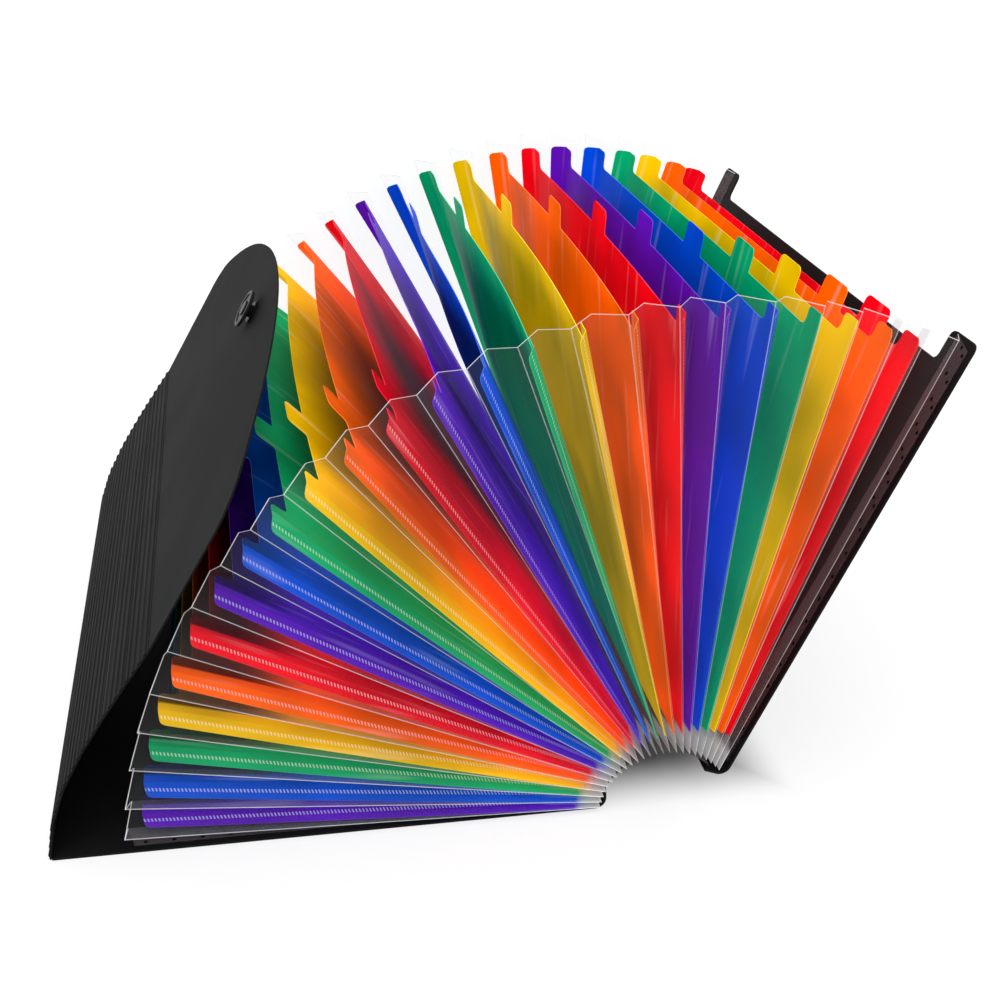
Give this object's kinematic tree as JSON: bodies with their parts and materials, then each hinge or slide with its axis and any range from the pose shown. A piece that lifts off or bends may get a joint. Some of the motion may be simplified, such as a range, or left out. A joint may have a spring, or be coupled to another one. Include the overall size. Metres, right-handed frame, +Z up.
{
  "type": "expanding file folder",
  "caption": "Expanding file folder standing open as a fan: coloured tabbed dividers in clear pleated gussets between two black covers, with a ribbed flap and a button.",
  "frame": {"origin": "on the underside of the back cover, which lies flat, below the middle of the folder's length and ahead of its spine", "axes": "+Z up, +X from the back cover's outer edge and the flap towards the spine and the front cover, +Y along the folder's length away from the near gusset"},
  "size_m": [0.4221, 0.3378, 0.2666],
  "materials": {
    "cover": "fine-grained polypropylene",
    "flap": "fine-grained polypropylene, ribbed",
    "button": "smooth moulded plastic",
    "violet_sheet": "translucent polypropylene film",
    "blue_sheet": "translucent polypropylene film",
    "green_sheet": "translucent polypropylene film",
    "yellow_sheet": "translucent polypropylene film",
    "orange_sheet": "translucent polypropylene film",
    "red_sheet": "translucent polypropylene film",
    "clear_film": "clear polypropylene film"
  },
  "bodies": {
    "back_cover": {"back_cover": "cover", "near_gusset": "clear_film", "far_gusset": "clear_film", "bottom_liner": "clear_film"},
    "divider_01": {"divider_01_violet": "violet_sheet"},
    "divider_02": {"divider_02_blue": "blue_sheet"},
    "divider_03": {"divider_03_green": "green_sheet"},
    "divider_04": {"divider_04_yellow": "yellow_sheet"},
    "divider_05": {"divider_05_orange": "orange_sheet"},
    "divider_06": {"divider_06_red": "red_sheet"},
    "divider_07": {"divider_07_violet": "violet_sheet"},
    "divider_08": {"divider_08_blue": "blue_sheet"},
    "divider_09": {"divider_09_green": "green_sheet"},
    "divider_10": {"divider_10_yellow": "yellow_sheet"},
    "divider_11": {"divider_11_orange": "orange_sheet"},
    "divider_12": {"divider_12_red": "red_sheet"},
    "divider_13": {"divider_13_violet": "violet_sheet"},
    "divider_14": {"divider_14_blue": "blue_sheet"},
    "divider_15": {"divider_15_green": "green_sheet"},
    "divider_16": {"divider_16_yellow": "yellow_sheet"},
    "divider_17": {"divider_17_orange": "orange_sheet"},
    "divider_18": {"divider_18_red": "red_sheet"},
    "divider_19": {"divider_19_violet": "violet_sheet"},
    "divider_20": {"divider_20_blue": "blue_sheet"},
    "divider_21": {"divider_21_green": "green_sheet"},
    "divider_22": {"divider_22_yellow": "yellow_sheet"},
    "divider_23": {"divider_23_orange": "orange_sheet"},
    "divider_24": {"divider_24_red": "red_sheet"},
    "front_cover": {"front_cover": "cover"},
    "flap_strip_1": {"flap_strip_1": "flap"},
    "flap_strip_2": {"flap_strip_2": "flap"},
    "flap_strip_3": {"flap_strip_3": "flap"},
    "flap_strip_4": {"flap_strip_4": "flap"},
    "flap_strip_5": {"flap_strip_5": "flap"},
    "flap_strip_6": {"flap_strip_6": "flap"},
    "flap_panel": {"flap_panel": "flap", "button_washer": "button", "button_disc": "button", "button_rivet": "button"}
  },
  "joints": [
    {"name": "fan_01", "type": "hinge", "parent": "back_cover", "child": "divider_01", "pos_m": [0.05349, 0, 0.00514], "axis": [0, 1, 0], "range_deg": [-2, 0.17]},
    {"name": "fan_02", "type": "hinge", "parent": "divider_01", "child": "divider_02", "pos_m": [0.09172, 0, -0.00798], "axis": [0, 1, 0], "range_deg": [-3.73, 0.31]},
    {"name": "fan_03", "type": "hinge", "parent": "divider_02", "child": "divider_03", "pos_m": [0.08549, 0, -0.00597], "axis": [0, 1, 0], "range_deg": [-4.4, 0.36]},
    {"name": "fan_04", "type": "hinge", "parent": "divider_03", "child": "divider_04", "pos_m": [0.08581, 0, -0.00521], "axis": [0, 1, 0], "range_deg": [-4.33, 0.36]},
    {"name": "fan_05", "type": "hinge", "parent": "divider_04", "child": "divider_05", "pos_m": [0.08456, 0, -0.00385], "axis": [0, 1, 0], "range_deg": [-4.5, 0.37]},
    {"name": "fan_06", "type": "hinge", "parent": "divider_05", "child": "divider_06", "pos_m": [0.08212, 0, -0.0014], "axis": [0, 1, 0], "range_deg": [-4.94, 0.41]},
    {"name": "fan_07", "type": "hinge", "parent": "divider_06", "child": "divider_07", "pos_m": [0.08167, 0, 0.00057], "axis": [0, 1, 0], "range_deg": [-5.14, 0.42]},
    {"name": "fan_08", "type": "hinge", "parent": "divider_07", "child": "divider_08", "pos_m": [0.08398, 0, 0.00071], "axis": [0, 1, 0], "range_deg": [-4.81, 0.4]},
    {"name": "fan_09", "type": "hinge", "parent": "divider_08", "child": "divider_09", "pos_m": [0.08723, 0, -0.0006], "axis": [0, 1, 0], "range_deg": [-4.34, 0.36]},
    {"name": "fan_10", "type": "hinge", "parent": "divider_09", "child": "divider_10", "pos_m": [0.08687, 0, 0.00107], "axis": [0, 1, 0], "range_deg": [-4.54, 0.38]},
    {"name": "fan_11", "type": "hinge", "parent": "divider_10", "child": "divider_11", "pos_m": [0.08653, 0, 0.00323], "axis": [0, 1, 0], "range_deg": [-4.85, 0.4]},
    {"name": "fan_12", "type": "hinge", "parent": "divider_11", "child": "divider_12", "pos_m": [0.08801, 0, 0.00329], "axis": [0, 1, 0], "range_deg": [-4.76, 0.39]},
    {"name": "fan_13", "type": "hinge", "parent": "divider_12", "child": "divider_13", "pos_m": [0.08888, 0, 0.00415], "axis": [0, 1, 0], "range_deg": [-4.87, 0.4], "deforming": ["near_gusset", "far_gusset", "bottom_liner"]},
    {"name": "fan_14", "type": "hinge", "parent": "divider_13", "child": "divider_14", "pos_m": [0.0905, 0, 0.00348], "axis": [0, 1, 0], "range_deg": [-4.74, 0.39]},
    {"name": "fan_15", "type": "hinge", "parent": "divider_14", "child": "divider_15", "pos_m": [0.0918, 0, 0.00302], "axis": [0, 1, 0], "range_deg": [-4.69, 0.39]},
    {"name": "fan_16", "type": "hinge", "parent": "divider_15", "child": "divider_16", "pos_m": [0.09263, 0, 0.00383], "axis": [0, 1, 0], "range_deg": [-4.88, 0.4]},
    {"name": "fan_17", "type": "hinge", "parent": "divider_16", "child": "divider_17", "pos_m": [0.09374, 0, 0.00311], "axis": [0, 1, 0], "range_deg": [-4.85, 0.4]},
    {"name": "fan_18", "type": "hinge", "parent": "divider_17", "child": "divider_18", "pos_m": [0.09516, 0, -0.00216], "axis": [0, 1, 0], "range_deg": [-4.21, 0.35]},
    {"name": "fan_19", "type": "hinge", "parent": "divider_18", "child": "divider_19", "pos_m": [0.09565, 0, -0.00391], "axis": [0, 1, 0], "range_deg": [-4.09, 0.34]},
    {"name": "fan_20", "type": "hinge", "parent": "divider_19", "child": "divider_20", "pos_m": [0.096, 0, -0.00177], "axis": [0, 1, 0], "range_deg": [-4.46, 0.37]},
    {"name": "fan_21", "type": "hinge", "parent": "divider_20", "child": "divider_21", "pos_m": [0.09578, 0, -0.00597], "axis": [0, 1, 0], "range_deg": [-4.04, 0.33]},
    {"name": "fan_22", "type": "hinge", "parent": "divider_21", "child": "divider_22", "pos_m": [0.0944, 0, -0.01294], "axis": [0, 1, 0], "range_deg": [-3.43, 0.28]},
    {"name": "fan_23", "type": "hinge", "parent": "divider_22", "child": "divider_23", "pos_m": [0.09336, 0, -0.01498], "axis": [0, 1, 0], "range_deg": [-3.29, 0.27]},
    {"name": "fan_24", "type": "hinge", "parent": "divider_23", "child": "divider_24", "pos_m": [0.0887, 0, -0.02611], "axis": [0, 1, 0], "range_deg": [-2.58, 0.21]},
    {"name": "fan_25", "type": "hinge", "parent": "divider_24", "child": "front_cover", "pos_m": [0.119, 0, 0.0138], "axis": [0, 1, 0], "range_deg": [-4.4, 0.36]},
    {"name": "flap_1", "type": "hinge", "parent": "back_cover", "child": "flap_strip_1", "pos_m": [-0.2119, 0, 0.0006], "axis": [0, 1, 0], "range_deg": [-100, 0]},
    {"name": "flap_2", "type": "hinge", "parent": "flap_strip_1", "child": "flap_strip_2", "pos_m": [-0.20861, 0, 0.02134], "axis": [0, 1, 0], "range_deg": [-10, 0]},
    {"name": "flap_3", "type": "hinge", "parent": "flap_strip_2", "child": "flap_strip_3", "pos_m": [-0.20178, 0, 0.0412], "axis": [0, 1, 0], "range_deg": [-8, 0]},
    {"name": "flap_4", "type": "hinge", "parent": "flap_strip_3", "child": "flap_strip_4", "pos_m": [-0.19224, 0, 0.05991], "axis": [0, 1, 0], "range_deg": [-4, 0]},
    {"name": "flap_5", "type": "hinge", "parent": "flap_strip_4", "child": "flap_strip_5", "pos_m": [-0.18143, 0, 0.07791], "axis": [0, 1, 0], "range_deg": [-2, 0]},
    {"name": "flap_6", "type": "hinge", "parent": "flap_strip_5", "child": "flap_strip_6", "pos_m": [-0.16999, 0, 0.09552], "axis": [0, 1, 0], "range_deg": [-1, 0]},
    {"name": "flap_7", "type": "hinge", "parent": "flap_strip_6", "child": "flap_panel", "pos_m": [-0.15825, 0, 0.11293], "axis": [0, 1, 0], "range_deg": [0, 5]}
  ],
  "couplings": [
    {"joint": "fan_01", "follows": "fan_13", "ratio": 0.41069},
    {"joint": "fan_02", "follows": "fan_13", "ratio": 0.7653},
    {"joint": "fan_03", "follows": "fan_13", "ratio": 0.90368},
    {"joint": "fan_04", "follows": "fan_13", "ratio": 0.88864},
    {"joint": "fan_05", "follows": "fan_13", "ratio": 0.92338},
    {"joint": "fan_06", "follows": "fan_13", "ratio": 1.0144},
    {"joint": "fan_07", "follows": "fan_13", "ratio": 1.0549},
    {"joint": "fan_08", "follows": "fan_13", "ratio": 0.98808},
    {"joint": "fan_09", "follows": "fan_13", "ratio": 0.89065},
    {"joint": "fan_10", "follows": "fan_13", "ratio": 0.93232},
    {"joint": "fan_11", "follows": "fan_13", "ratio": 0.99533},
    {"joint": "fan_12", "follows": "fan_13", "ratio": 0.97802},
    {"joint": "fan_14", "follows": "fan_13", "ratio": 0.97306},
    {"joint": "fan_15", "follows": "fan_13", "ratio": 0.96279},
    {"joint": "fan_16", "follows": "fan_13", "ratio": 1.0008},
    {"joint": "fan_17", "follows": "fan_13", "ratio": 0.99531},
    {"joint": "fan_18", "follows": "fan_13", "ratio": 0.86351},
    {"joint": "fan_19", "follows": "fan_13", "ratio": 0.83867},
    {"joint": "fan_20", "follows": "fan_13", "ratio": 0.91459},
    {"joint": "fan_21", "follows": "fan_13", "ratio": 0.8296},
    {"joint": "fan_22", "follows": "fan_13", "ratio": 0.70325},
    {"joint": "fan_23", "follows": "fan_13", "ratio": 0.67576},
    {"joint": "fan_24", "follows": "fan_13", "ratio": 0.52849},
    {"joint": "fan_25", "follows": "fan_13", "ratio": 0.90351},
    {"joint": "flap_2", "follows": "flap_1", "ratio": 0.1},
    {"joint": "flap_3", "follows": "flap_1", "ratio": 0.08},
    {"joint": "flap_4", "follows": "flap_1", "ratio": 0.04},
    {"joint": "flap_5", "follows": "flap_1", "ratio": 0.02},
    {"joint": "flap_6", "follows": "flap_1", "ratio": 0.01},
    {"joint": "flap_7", "follows": "flap_1", "ratio": -0.05}
  ]
}
